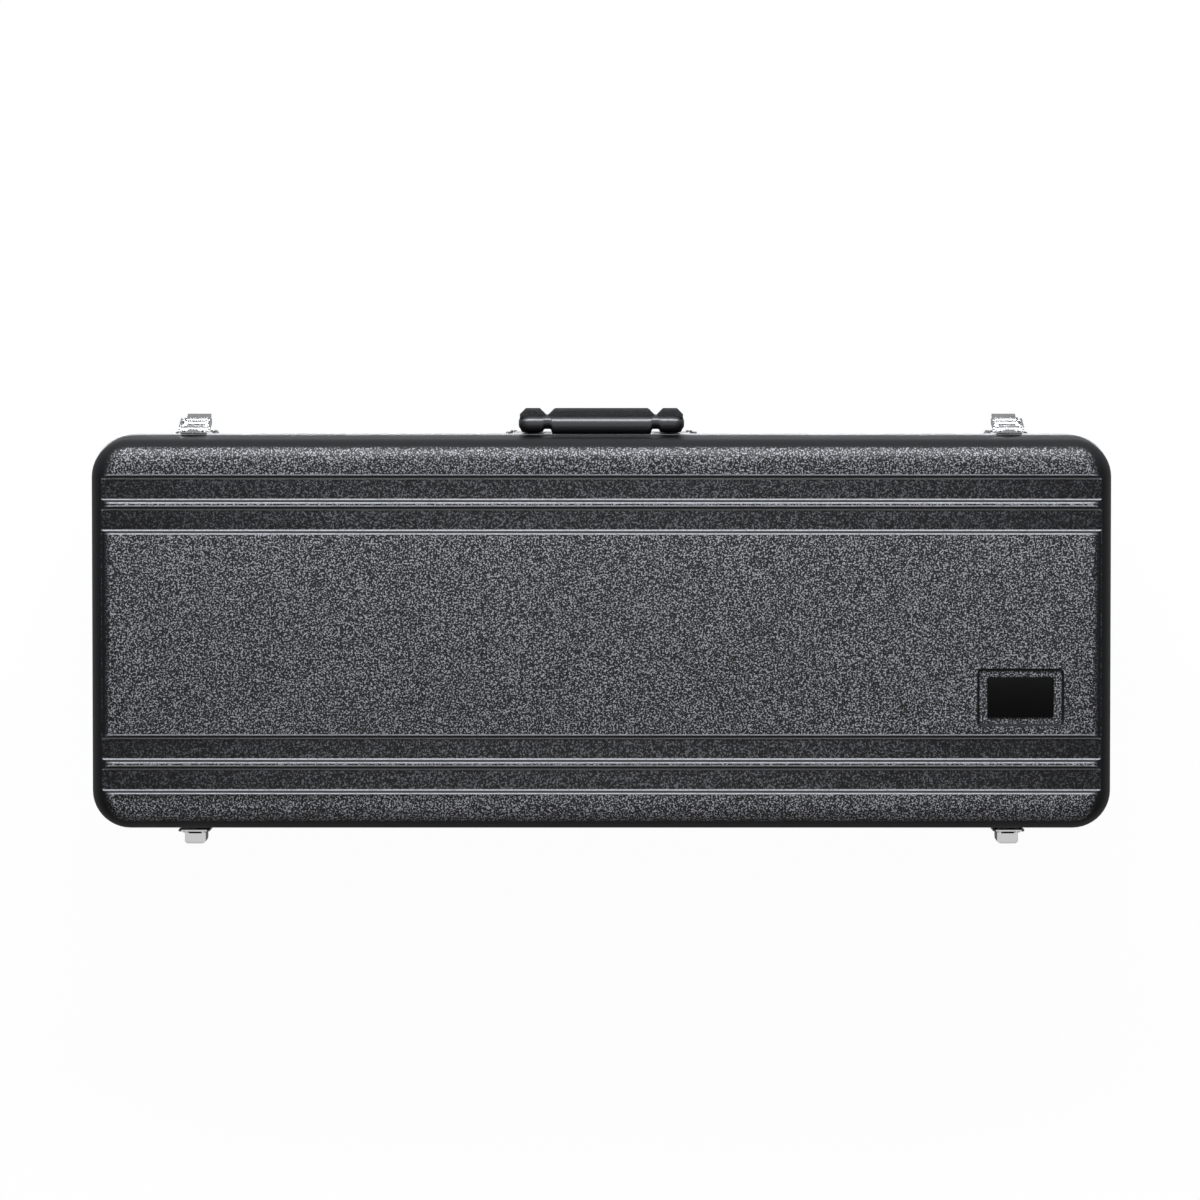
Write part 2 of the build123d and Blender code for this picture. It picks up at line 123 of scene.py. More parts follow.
def maths(tree, operation, first, second=0.0):
    return addNode(tree, "ShaderNodeMath", {0: first, 1: second}, operation=operation).outputs["Value"]


def blendColour(tree, amount, first, second):
    # the mix node's colour sockets are its seventh and eighth
    return addNode(tree, "ShaderNodeMix", {0: amount, 6: first, 7: second}, data_type="RGBA").outputs[2]


def bumpNormal(tree, height, strength, distance):
    wanted = {"Height": height, "Strength": strength, "Distance": distance}
    return addNode(tree, "ShaderNodeBump", wanted).outputs["Normal"]


def grey(level, blue=0.0):
    return (level, level, level * (1 + blue), 1)


def surfaceNormal(tree):
    # the normal in the piece's own space, so that it turns with the lid
    normal = addNode(tree, "ShaderNodeTexCoord").outputs["Normal"]
    return addNode(tree, "ShaderNodeSeparateXYZ", {"Vector": normal}).outputs


def foldAbout(tree, value, place):
    # distance from a place, so that what lies on both sides of it is written once
    return maths(tree, "ABSOLUTE", maths(tree, "SUBTRACT", value, place))


# moulded shells: pebbled grain on the faces with painted glints, fading as painted shade round both ends;
# smooth walls; painted shade on the recessed bands' floors, and lines on their walls that are part wear,
# part painted highlight
shellLook = {
    "grainScale": 740.0,
    "grainRange": (0.49, 0.62),
    "sparkle": 1.5,  # how few of the pebbles are bright
    "dark": 0.003,
    # painted glints: the light pebbles stand in for the grain's reflections of the lamps
    "light": 0.32,
    "recess": 0.36,  # painted shade: the bands' floors keep less of the light pebbles
    "cloudScale": 9.0,  # broad patches that are a little darker or lighter
    "cloudRange": (0.88, 1.1),
    "plain": 0.009,
    "plainRange": (0.6, 1.4),
    # part wear, part painted highlight: light lines along the top and foot of the band walls, mottled like
    # scuffing
    "worn": 0.34,
    "wornAndHighlightRange": (0.3, 0.55, 0.55, 1.0),
    "endShadeTurn": (0.12, 0.45),  # between these turns towards the end the light pebbles fade: painted shade on both ends
    "faceTurn": (0.71, 0.82),  # between these turns towards the face it comes in
    "wornTurn": (0.4, 0.6),
    "faceRoughness": 0.44,
    "plainRoughness": 0.4,
    "bumpStrength": (0.1, 0.35),  # on the walls and on the faces
    "bumpDistance": 0.0003,
    "specularLevel": 0.3,
}
# where the bands lie across the case, in metres: their middle, each recess's middle from there,
# each wall's middle from there, half a wall's width, and how far the recesses' painted shade and the
# painted highlight lines reach
bandPlace = {
    "middle": 0.10745,
    "recess": 0.0128,
    "wall": 0.0100,
    "halfWall": 0.0015,
    "shadeEdge": 0.0004,
    "lineEdge": (0.00035, 0.00085),
}


def bandMasks(tree, across, band):
    # where the recesses' floors take painted shade, and where the painted highlight lines along the top and
    # foot of their walls are
    fromRecess = across
    for place in (0.0, band["middle"], band["recess"]):
        fromRecess = foldAbout(tree, fromRecess, place)
    floorEnd = band["wall"] - band["halfWall"]
    recessShade = remap(tree, fromRecess, floorEnd - band["shadeEdge"], floorEnd + band["shadeEdge"], 1.0, 0.0)
    fromLine = foldAbout(tree, foldAbout(tree, fromRecess, band["wall"]), band["halfWall"])
    return recessShade, remap(tree, fromLine, *band["lineEdge"], 1.0, 0.0)


def shellMaterial(look, band):
    material, tree, bsdf = newMaterial("mouldedShell")
    point = objectPoint(tree)
    height = noiseField(tree, point, look["grainScale"], 2.0, 0.6)
    pebble = maths(tree, "POWER", remap(tree, height, *look["grainRange"]), look["sparkle"])
    normal = surfaceNormal(tree)
    facing = maths(tree, "ABSOLUTE", normal["Z"])
    # painted shade: the light pebbles fade where the surface turns towards either end, so both ends of the
    # case stay dark
    clearOfEndShade = remap(tree, maths(tree, "ABSOLUTE", normal["X"]), *look["endShadeTurn"], 1.0, 0.0)
    onFace = maths(tree, "MULTIPLY", remap(tree, facing, *look["faceTurn"]), clearOfEndShade)
    across = addNode(tree, "ShaderNodeSeparateXYZ", {"Vector": point}).outputs["Y"]
    recessShade, worn = bandMasks(tree, across, band)
    cloud = noiseField(tree, point, look["cloudScale"], 2.0)
    darker, lighter = (look["light"] * share for share in look["cloudRange"])
    light = blendColour(tree, cloud, grey(darker, 0.07), grey(lighter, 0.1))
    # painted shade on the recesses' floors
    light = blendColour(tree, recessShade, light, grey(look["light"] * look["recess"], 0.08))
    # painted glints: the grain's light pebbles on the dark plastic
    grainAndGlints = blendColour(tree, pebble, grey(look["dark"], 0.1), light)
    darker, lighter = (look["plain"] * share for share in look["plainRange"])
    plain = blendColour(tree, height, grey(darker, 0.1), grey(lighter, 0.1))
    colour = blendColour(tree, onFace, plain, grainAndGlints)
    # painted highlight lines along the band walls, mottled like wear
    scuffAndHighlight = maths(tree, "MULTIPLY", worn, remap(tree, height, *look["wornAndHighlightRange"]))
    flat = maths(tree, "MULTIPLY", clearOfEndShade, remap(tree, facing, *look["wornTurn"]))
    scuffAndHighlight = maths(tree, "MULTIPLY", scuffAndHighlight, flat)
    strength = remap(tree, onFace, 0.0, 1.0, *look["bumpStrength"])
    wanted = {
        "Base Color": blendColour(tree, scuffAndHighlight, colour, grey(look["worn"], 0.06)),
        "Roughness": remap(tree, onFace, 0.0, 1.0, look["plainRoughness"], look["faceRoughness"]),
        "Normal": bumpNormal(tree, height, strength, look["bumpDistance"]),
        "Specular IOR Level": look["specularLevel"],
    }
    setSockets(tree, bsdf, wanted)
    return material


# aluminium valance: drawn lines along the rim
valanceLook = {
    "colour": 0.80,
    "stain": 0.93,
    "stainScale": 30.0,
    "lineScale": 2600.0,
    "lineStretch": (0.004, 0.004, 1),
    "roughness": (0.24, 0.42),
    "bump": (0.12, 0.0001),  # strength and distance, here and in the looks that follow
}


def valanceMaterial(look):
    material, tree, bsdf = newMaterial("valanceAluminium")
    lines = noiseField(tree, objectPoint(tree, look["lineStretch"]), look["lineScale"], 2.0)
    stain = noiseField(tree, objectPoint(tree), look["stainScale"], 3.0)
    stained, bright = grey(look["colour"] * look["stain"], 0.01), grey(look["colour"], 0.02)
    wanted = {
        "Base Color": blendColour(tree, stain, stained, bright),
        "Roughness": remap(tree, lines, 0.3, 0.7, *look["roughness"]),
        "Normal": bumpNormal(tree, lines, *look["bump"]),
        "Metallic": 1.0,
    }
    setSockets(tree, bsdf, wanted)
    return material


# bright nickel plate on the latches, hinges and rivets
nickelLook = {
    "colour": 0.72,
    "handled": 0.94,
    "handlingScale": 120.0,
    "roughness": (0.05, 0.14),
    "scratchScale": 2400.0,
    "scratchStretch": (1, 1, 0.05),
    "scratchTurn": (0.4, 0.2, 0),
    "bump": (0.05, 0.00005),
}


def nickelMaterial(look):
    material, tree, bsdf = newMaterial("brightNickel")
    wear = noiseField(tree, objectPoint(tree), look["handlingScale"], 4.0, 0.6)
    along = objectPoint(tree, look["scratchStretch"], look["scratchTurn"])
    scratch = noiseField(tree, along, look["scratchScale"], 1.0)
    handled, bright = grey(look["colour"] * look["handled"]), grey(look["colour"], 0.02)
    wanted = {
        "Base Color": blendColour(tree, wear, handled, bright),
        "Roughness": remap(tree, wear, 0.35, 0.7, *look["roughness"]),
        "Normal": bumpNormal(tree, scratch, *look["bump"]),
        "Metallic": 1.0,
    }
    setSockets(tree, bsdf, wanted)
    return material


# handle moulding: a smooth satin bar, and rough pads along its outer side
handleLook = {
    "dark": 0.0128,
    "light": 0.0192,
    "grainScale": 520.0,
    "roughness": (0.34, 0.44),
    "bump": (0.08, 0.0002),
    "coat": 0.5,
    "coatRoughness": 0.3,
}
padLook = {
    "dark": 0.003,
    "light": 0.03,
    "grainScale": 1500.0,
    "roughness": 0.7,
    "bump": (0.7, 0.0003),
    "specularLevel": 0.25,
}


def handleMaterial(look):
    material, tree, bsdf = newMaterial("handleMoulding")
    grain = noiseField(tree, objectPoint(tree), look["grainScale"], 3.0)
    wanted = {
        "Base Color": blendColour(tree, grain, grey(look["dark"], 0.1), grey(look["light"], 0.1)),
        "Roughness": remap(tree, grain, 0.3, 0.7, *look["roughness"]),
        "Normal": bumpNormal(tree, grain, *look["bump"]),
        "Coat Weight": look["coat"],
        "Coat Roughness": look["coatRoughness"],
    }
    setSockets(tree, bsdf, wanted)
    return material


def padMaterial(look):
    material, tree, bsdf = newMaterial("handlePadRubber")
    grain = noiseField(tree, objectPoint(tree), look["grainScale"], 2.0)
    pebble = remap(tree, grain, 0.35, 0.65)
    wanted = {
        "Base Color": blendColour(tree, pebble, grey(look["dark"]), grey(look["light"], 0.05)),
        "Roughness": look["roughness"],
        "Normal": bumpNormal(tree, grain, *look["bump"]),
        "Specular IOR Level": look["specularLevel"],
    }
    setSockets(tree, bsdf, wanted)
    return material


# bare label plate, satin black
labelLook = {
    "dark": 0.0008,
    "light": 0.00144,
    "hazeScale": 160.0,
    "roughness": (0.5, 0.6),
    "specularLevel": 0.08,
}


def labelMaterial(look):
    material, tree, bsdf = newMaterial("labelPlateBlack")
    haze = noiseField(tree, objectPoint(tree), look["hazeScale"], 3.0)
    wanted = {
        "Base Color": blendColour(tree, haze, grey(look["dark"]), grey(look["light"])),
        "Roughness": remap(tree, haze, 0.3, 0.7, *look["roughness"]),
        "Specular IOR Level": look["specularLevel"],
    }
    setSockets(tree, bsdf, wanted)
    return material


# short black plush: nap that lies in patches
plushLook = {
    "dark": 0.008,
    "light": 0.035,
    "napScale": 700.0,
    "patchScale": 14.0,
    "patchShare": 0.4,  # of the colour, and the nap gives the rest
    "roughness": 0.95,
    "bump": (0.8, 0.0008),
    "sheen": 0.5,
    "sheenRoughness": 0.4,
}


def plushMaterial(look):
    material, tree, bsdf = newMaterial("blackPlush")
    point = objectPoint(tree)
    nap = noiseField(tree, point, look["napScale"], 3.0, 0.7)
    patch = remap(tree, noiseField(tree, point, look["patchScale"], 2.0), 0.35, 0.65)
    fromNap = maths(tree, "MULTIPLY", nap, 1 - look["patchShare"])
    mixed = maths(tree, "ADD", fromNap, maths(tree, "MULTIPLY", patch, look["patchShare"]))
    wanted = {
        "Base Color": blendColour(tree, mixed, grey(look["dark"]), grey(look["light"], 0.06)),
        "Roughness": look["roughness"],
        "Normal": bumpNormal(tree, nap, *look["bump"]),
        "Sheen Weight": look["sheen"],
        "Sheen Roughness": look["sheenRoughness"],
    }
    setSockets(tree, bsdf, wanted)
    return material


finishes = {
    "shell": shellMaterial(shellLook, bandPlace),
    "valance": valanceMaterial(valanceLook),
    "hardware": nickelMaterial(nickelLook),
    "handle": handleMaterial(handleLook),
    "pad": padMaterial(padLook),
    "label": labelMaterial(labelLook),
    "plush": plushMaterial(plushLook),
}
finishes["rivet"] = finishes["hardware"]

# broken edges: how far the edge of each kind of solid is rounded, in metres
edgeBreaks = {"hardware": 0.00025, "rivet": 0.0009, "label": 0.0003, "valance": 0.0002}
edgeRules = {"smoothAngle": 32.0, "mergeWithin": 0.000005, "segments": 2, "rivetSegments": 4}


def splitSharp(piece, degrees):
    split = piece.modifiers.new("sharpEdges", "EDGE_SPLIT")
    split.split_angle = math.radians(degrees)


def dressSolid(solid, slotName, rules):
    # merged, with broken edges, and split where it stays sharp, so that round faces shade smoothly
    solid.data.materials.clear()
    solid.data.materials.append(finishes[slotName])
    solid.data.polygons.foreach_set("use_smooth", [True] * len(solid.data.polygons))
    solid.modifiers.new("merge", "WELD").merge_threshold = rules["mergeWithin"]
    if slotName in edgeBreaks:
        bevel = solid.modifiers.new("brokenEdge", "BEVEL")
        bevel.width = edgeBreaks[slotName]
        bevel.segments = rules["rivetSegments"] if slotName == "rivet" else rules["segments"]
        bevel.limit_method = "ANGLE"
        bevel.angle_limit = math.radians(rules["smoothAngle"])
    splitSharp(solid, rules["smoothAngle"])


for part in frame["record"]["subparts"]:
    dressSolid(nodes[part["node"]], part["material_slot"], edgeRules)
print("finishes on all solids")

# the last ring of a closed end keeps a little width, so that none of its faces has no area
almostClosed = 0.9995


def smooth(t):
    t = np.clip(t, 0, 1)
    return t * t * (3 - 2 * t)


def makePiece(name, points, faces, finish, body):
    mesh = bpy.data.meshes.new(name)
    mesh.from_pydata(points.tolist(), [], faces)
    mesh.polygons.foreach_set("use_smooth", [True] * len(mesh.polygons))
    mesh.materials.append(finishes[finish])
    piece = bpy.data.objects.new(name, mesh)
    bpy.context.scene.collection.objects.link(piece)
    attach(piece, body)
    return piece


def tubeFaces(rings, around, flip=False):
    # quads between neighbouring rings of points, and one flat face over each end
    order = np.arange(rings * around).reshape(rings, around)
    after = np.roll(order, -1, axis=1)
    quads = np.stack([order[:-1], after[:-1], after[1:], order[1:]], -1).reshape(-1, 4)
    first, last = order[0][::-1], order[-1]
    if flip:
        quads, first, last = quads[:, ::-1], first[::-1], last[::-1]
    return quads.tolist() + [first.tolist(), last.tolist()]


def ringAngles(count):
    return np.linspace(0, 2 * np.pi, count, endpoint=False)[None, :]


def superRing(angle, halfA, halfB, power):
    # a superellipse: round corners, and sides that flatten as the power grows
    c, s = np.cos(angle), np.sin(angle)
    return halfA * np.sign(c) * np.abs(c) ** (2 / power), halfB * np.sign(s) * np.abs(s) ** (2 / power)


def alongX(name, x, y, z, finish, body):
    # a closed surface from rings that follow each other along the case
    points = np.stack([np.broadcast_to(x[:, None], y.shape), y, np.broadcast_to(z, y.shape)], -1)
    return makePiece(name, points.reshape(-1, 3), tubeFaces(*y.shape), finish, body)


# handle moulding: a round bar with slim necks on two legs, and three rough pads on its outer side
handleShape = {
    "barHalf": 0.069,
    "neckInset": 0.0042,
    "blockInset": 0.0016,
    "padProud": 0.0052,
    "gripEnd": 0.0405,
    "neckStart": 0.0428,
    "neckEnd": 0.0472,
    "blockStart": 0.0495,
    "barHalfHeight": 0.0112,
    "endRound": 0.010,
    "endCloses": (0.55, 0.6),  # how much of the end's rounding goes off the depth and the height
    "thinnest": 0.0004,
    "squareness": 2.25,
    "stations": 240,
    "legX": 0.058,
    "legDrop": 0.010,  # how deep a leg starts under the middle of the bar's top
    "legHalfWidth": 0.0098,
    "legHalfDepth": 0.0082,
    "legSquareness": 4.25,
    "legStations": 90,
    "slimOver": (0.006, 0.014),  # heights above the pin between which a leg narrows
    "bossHalfWidth": 0.006,
    "bossRadius": 0.006,
    "around": 72,
}
padShape = {
    "spans": ((-0.0680, -0.0464), (-0.0440, 0.0440), (0.0464, 0.0680)),
    "halfDepth": 0.0046,
    "halfHeight": 0.0082,
    "chamfer": 0.0050,
    "squareness": 5.0,
    "stations": 60,
}


def handlePieces(shape, pads):
    low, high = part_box("handle_grip")
    pinLow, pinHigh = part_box("handle_pins")
    pinY, pinZ = (pinLow.y + pinHigh.y) / 2, (pinLow.z + pinHigh.z) / 2
    barZ = high.z - shape["barHalfHeight"]
    angle = ringAngles(shape["around"])
    # the bar: its inner side steps back at the necks, and both ends close with a quarter round
    s = np.linspace(-1, 1, shape["stations"])
    x = shape["barHalf"] * (np.sin(s * np.pi / 2) + s) / 2
    reach = np.abs(x)
    toNeck = smooth((reach - shape["gripEnd"]) / (shape["neckStart"] - shape["gripEnd"]))
    toBlock = smooth((reach - shape["neckEnd"]) / (shape["blockStart"] - shape["neckEnd"]))
    inset = shape["neckInset"] * toNeck + (shape["blockInset"] - shape["neckInset"]) * toBlock
    end = np.clip((reach - shape["barHalf"] + shape["endRound"]) / shape["endRound"], 0, almostClosed)
    closing = shape["endRound"] * (1 - np.sqrt(1 - end**2))
    inner, outer = low.y + inset, high.y - shape["padProud"]
    offDepth, offHeight = shape["endCloses"]
    halfDepth = np.maximum((outer - inner) / 2 - offDepth * closing, shape["thinnest"])
    halfHeight = shape["barHalfHeight"] - offHeight * closing
    ringY, ringZ = superRing(angle, halfDepth[:, None], halfHeight[:, None], shape["squareness"])
    middleY = ((outer + inner) / 2)[:, None]
    bar = alongX("handle_bar", x, middleY + ringY, barZ + ringZ, "handle", "handle")
    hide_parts("handle_grip")
    # each leg: from inside the bar down to a boss that is round about the pin
    t = np.linspace(0, 1, shape["legStations"])
    top, bottom = high.z - shape["legDrop"], pinZ - shape["bossRadius"]
    z = top + (bottom - top) * np.sin(t * np.pi / 2)
    slimLow, slimHigh = shape["slimOver"]
    slim = smooth((pinZ + slimHigh - z) / (slimHigh - slimLow))
    halfX = shape["legHalfWidth"] + (shape["bossHalfWidth"] - shape["legHalfWidth"]) * slim
    halfY = shape["legHalfDepth"] + (shape["bossRadius"] - shape["legHalfDepth"]) * slim
    below = np.clip((pinZ - z) / shape["bossRadius"], 0, almostClosed)
    halfY = halfY * np.sqrt(1 - below**2)
    ringX, ringY = superRing(angle, halfX[:, None], halfY[:, None], shape["legSquareness"])
    barY = (low.y + shape["blockInset"] + outer) / 2
    legY = (barY + (pinY - barY) * slim)[:, None] + ringY
    legFaces = tubeFaces(*legY.shape, flip=True)
    for label, side in (("left", -1), ("right", 1)):
        leg = np.stack([side * shape["legX"] + ringX, legY, np.broadcast_to(z[:, None], legY.shape)], -1)
        makePiece("handle_leg_" + label, leg.reshape(-1, 3), legFaces, "handle", "handle")
    # the pads: squarish slabs whose ends slope back to the bar
    for label, (start, stop) in zip(("left", "middle", "right"), pads["spans"]):
        x = np.linspace(start, stop, pads["stations"])
        fromEnd = np.minimum(x - start, stop - x)
        recede = pads["chamfer"] * (1 - np.clip(fromEnd / pads["chamfer"], 0, 1))
        half = (pads["halfDepth"] - recede / 2)[:, None]
        ringY, ringZ = superRing(angle, half, pads["halfHeight"], pads["squareness"])
        centre = (high.y - pads["halfDepth"] - recede / 2)[:, None]
        alongX("handle_pad_" + label, x, centre + ringY, barZ + ringZ, "pad", "handle")


handlePieces(handleShape, padShape)
print("handle made")


# latch details: the lever's rolled top round the bail pin, and the raised boss on the keeper
latchShape = {
    "noseStations": (-1, -0.96, -0.5, 0, 0.5, 0.96, 1),
    "noseHalf": 0.0092,
    "noseEnd": 0.93,  # size of its outermost rings
    "noseInner": 0.0016,
    "noseOuter": 0.0031,
    "noseFrom": -55.0,  # degrees, from straight out
    "noseTo": 200.0,
    "noseArc": 40,
    "sharpAngle": 40.0,
    "plate": 0.0015,
    "bossBelowTop": 0.0008,
    "bossHeight": 0.0135,
    "bossHalfWidth": 0.0058,
    "bossProud": 0.0030,
    "bossSunk": 0.1,  # how much of its depth sinks into the plate
    "bossWidest": 0.25,  # at this share of its height
    "bossEnds": (0.0004, 1.0005),  # keep a little width in its lowest and highest rings
    "bossRings": 40,
    "bossAround": 48,
}


def latchPieces(shape, side):
    low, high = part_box("latch_" + side + "_bail_pin")
    x, y, z = (low.x + high.x) / 2, (low.y + high.y) / 2, (low.z + high.z) / 2
    # the rolled top: an arc and a smaller arc back, carried along the pin
    arc = np.radians(np.linspace(shape["noseFrom"], shape["noseTo"], shape["noseArc"]))
    turn = np.append(arc, arc[::-1])
    radius = np.repeat([shape["noseOuter"], shape["noseInner"]], shape["noseArc"])
    stations = np.array(shape["noseStations"])
    shrink = np.where(np.abs(stations) == 1, shape["noseEnd"], 1)[:, None]
    ringY, ringZ = y + shrink * radius * np.cos(turn), z + shrink * radius * np.sin(turn)
    name, noseX = "lever_" + side + "_rolled_top", x + shape["noseHalf"] * stations
    nose = alongX(name, noseX, ringY, ringZ, "hardware", "latch_" + side)
    splitSharp(nose, shape["sharpAngle"])
    # the boss: ellipses up the shield, widest low down and drawn to a point at the top
    low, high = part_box("keeper_" + side)
    u = np.linspace(0, 1, shape["bossRings"])
    lowest, highest = shape["bossEnds"]
    opening = np.clip(u / shape["bossWidest"], lowest, 1)
    swell = (np.sqrt(opening * (2 - opening)) * (highest - u**2))[:, None]
    angle = ringAngles(shape["bossAround"])
    ringX, ringY = superRing(angle, shape["bossHalfWidth"] * swell, shape["bossProud"] * swell, 2)
    ringY = np.where(ringY < 0, ringY * shape["bossSunk"], ringY) + low.y + shape["plate"]
    rise = (high.z - shape["bossBelowTop"] - shape["bossHeight"] * (1 - u))[:, None]
    points = np.stack([(low.x + high.x) / 2 + ringX, ringY, np.broadcast_to(rise, ringX.shape)], -1)
    name = "keeper_" + side + "_boss"
    makePiece(name, points.reshape(-1, 3), tubeFaces(*ringX.shape), "hardware", "lid")


# painted shade: a dark plate inside each hinge box, standing for the shade seen through its slot
slotShadeShape = {
    "halfLength": 0.0070,
    "halfDepth": 0.0024,
    "halfThick": 0.0005,
    "insideLeaf": 0.0034,  # from the leaf's face next to the case
    "overPin": 0.0244,
    "squareness": 6,
    "stations": 6,
    "around": 24,
}


def hingeSlotShade(shape, side):
    # a dark plate for the shade inside the box, seen through the slot
    low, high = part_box("hinge_" + side + "_lid_leaf")
    pinLow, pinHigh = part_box("hinge_" + side + "_pin")
    x = (low.x + high.x) / 2 + shape["halfLength"] * np.linspace(-1, 1, shape["stations"])
    angle = ringAngles(shape["around"])
    ringY, ringZ = superRing(angle, shape["halfDepth"], shape["halfThick"], shape["squareness"])
    ringY = np.repeat(high.y - shape["insideLeaf"] + ringY, shape["stations"], axis=0)
    pinZ = (pinLow.z + pinHigh.z) / 2
    ringZ = np.repeat(pinZ + shape["overPin"] + ringZ, shape["stations"], axis=0)
    alongX("hinge_" + side + "_slot_shade_plate", x, ringY, ringZ, "pad", "lid")


for side in ("left", "right"):
    latchPieces(latchShape, side)
    hingeSlotShade(slotShadeShape, side)
print("latch and hinge details made")


# plush lining of both halves, with the hollow for the instrument
liningShape = {
    "halfLength": 0.4155,
    "halfWidth": 0.1545,
    "corner": 0.022,
    "cell": 0.0034,
    "roll": 0.007,  # rounding round the rim
    "lip": 0.009,  # width of the soft edge of a hollow
    "lipOutside": 0.35,  # share of the lip that lies outside the hollow's outline
    "depths": {"base": 0.086, "lid": 0.064},
    "sideStep": 0.02,  # how far the side's first step stays off the back
    "sideDraw": 0.016,  # how much nearer the middle the back lies
    # two ends of each hollow, with their radii
    "bodyTube": ((-0.350, -0.078, 0.032), (0.318, -0.060, 0.046)),
    "bow": ((0.318, -0.060, 0.046), (0.296, 0.024, 0.050)),
    "bell": ((0.296, 0.024, 0.050), (-0.010, 0.054, 0.082)),
    # middle, length, width and corner
    "accessory": (-0.255, 0.062, 0.230, 0.116, 0.014),
    "napWave": 0.0006,
    "waves": ((61, 3, 47), (83, 2, 37)),
}


def taperedDistance(x, y, ends):
    # distance to a segment, less a radius that grows along it
    (ax, ay, ar), (bx, by, br) = ends
    dx, dy = bx - ax, by - ay
    t = np.clip(((x - ax) * dx + (y - ay) * dy) / (dx * dx + dy * dy), 0, 1)
    return np.hypot(x - ax - t * dx, y - ay - t * dy) - (ar + (br - ar) * t)


def boxDistance(x, y, halfX, halfY, corner):
    # distance to a rectangle with round corners, negative inside
    qx, qy = np.abs(x) - halfX + corner, np.abs(y) - halfY + corner
    outside = np.hypot(np.maximum(qx, 0), np.maximum(qy, 0))
    return outside + np.minimum(np.maximum(qx, qy), 0) - corner


def hollowDistance(shape, x, y, body):
    # distance to the nearest hollow's outline, negative inside
    gaps = [taperedDistance(x, y, shape[key]) for key in ("bodyTube", "bow", "bell")]
    if body == "base":
        middleX, middleY, length, width, corner = shape["accessory"]
        gaps.append(boxDistance(x - middleX, y - middleY, length / 2, width / 2, corner))
    return np.minimum.reduce(gaps)


def liningMesh(body, shape, face, floor):
    # rows of points fill a rounded rectangle; each drops by the hollow's depth inside its outline
    halfX, halfY, corner = (shape[key] for key in ("halfLength", "halfWidth", "corner"))
    nx = int(2 * halfX / shape["cell"])
    ny = int(2 * halfY / shape["cell"])
    u, v = np.meshgrid(np.linspace(-1, 1, nx), np.linspace(-1, 1, ny), indexing="ij")
    y = v * halfY
    past = np.maximum(np.abs(y) - (halfY - corner), 0)
    x = u * (halfX - corner + np.sqrt(np.maximum(corner**2 - past**2, 0)))
    gap = hollowDistance(shape, x, y, body)
    sink = shape["depths"][body] * smooth((shape["lip"] * shape["lipOutside"] - gap) / shape["lip"])
    edge = -boxDistance(x, y, halfX, halfY, corner)
    rolled = shape["roll"] * (1 - np.sqrt(1 - np.clip(1 - edge / shape["roll"], 0, 1) ** 2))
    # two waves, each swayed by a slower one across it
    (waveX, swayX, acrossY), (waveY, swayY, acrossX) = shape["waves"]
    wave = np.sin(waveX * x + swayX * np.sin(acrossY * y)) * np.sin(waveY * y + swayY * np.sin(acrossX * x))
    turn = 1 if face > floor else -1
    z = face - turn * (sink + rolled - shape["napWave"] * (wave - 1))
    top = np.stack([x, y, z], -1)
    # the side goes down in two steps to a flat back
    order = np.arange(nx * ny).reshape(nx, ny)
    loop = np.concatenate([order[:, 0], order[-1, 1:], order[-2::-1, -1], order[0, -2:0:-1]])
    rim = top.reshape(-1, 3)[loop]
    middle, last = rim.copy(), rim.copy()
    middle[:, 2] = floor + turn * shape["sideStep"]
    pull = 1 - shape["sideDraw"] / np.hypot(rim[:, 0], rim[:, 1])
    last[:, :2] *= pull[:, None]
    last[:, 2] = floor
    points = np.concatenate([top.reshape(-1, 3), middle, last])
    quads = np.stack([order[:-1, :-1], order[1:, :-1], order[1:, 1:], order[:-1, 1:]], -1).reshape(-1, 4)
    count, start = len(loop), nx * ny
    here = np.arange(count)
    after = np.roll(here, -1)
    first = np.stack([loop[here], start + here, start + after, loop[after]], -1)
    second = np.stack([start + here, start + count + here, start + count + after, start + after], -1)
    faces = np.concatenate([quads, first, second])[:, ::turn].tolist()
    faces.append((start + count + here[::-turn]).tolist())
    return makePiece(body + "_lining", points, faces, "plush", body)


# each lining runs from the face of its foam block to the far side of its pad
baseFace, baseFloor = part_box("base_foam_block")[1].z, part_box("base_foam_pad")[0].z
baseLining = liningMesh("base", liningShape, baseFace, baseFloor)
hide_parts("base_foam_block", "base_foam_pad")
lidFace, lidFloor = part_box("lid_foam_block")[0].z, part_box("lid_foam_pad")[1].z
lidLining = liningMesh("lid", liningShape, lidFace, lidFloor)
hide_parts("lid_foam_block", "lid_foam_pad")
print("plush linings made")


# pale floor that stays white to the camera and keeps the case's shadow
floorLook = {
    "halfSize": 7.0,
    "dark": 0.891,
    "light": 0.9,
    "grainScale": 60.0,
    "roughness": 0.9,
    "shown": 0.97,
    "mirrored": 0.75,
    "mirroredGlow": 0.12,
}


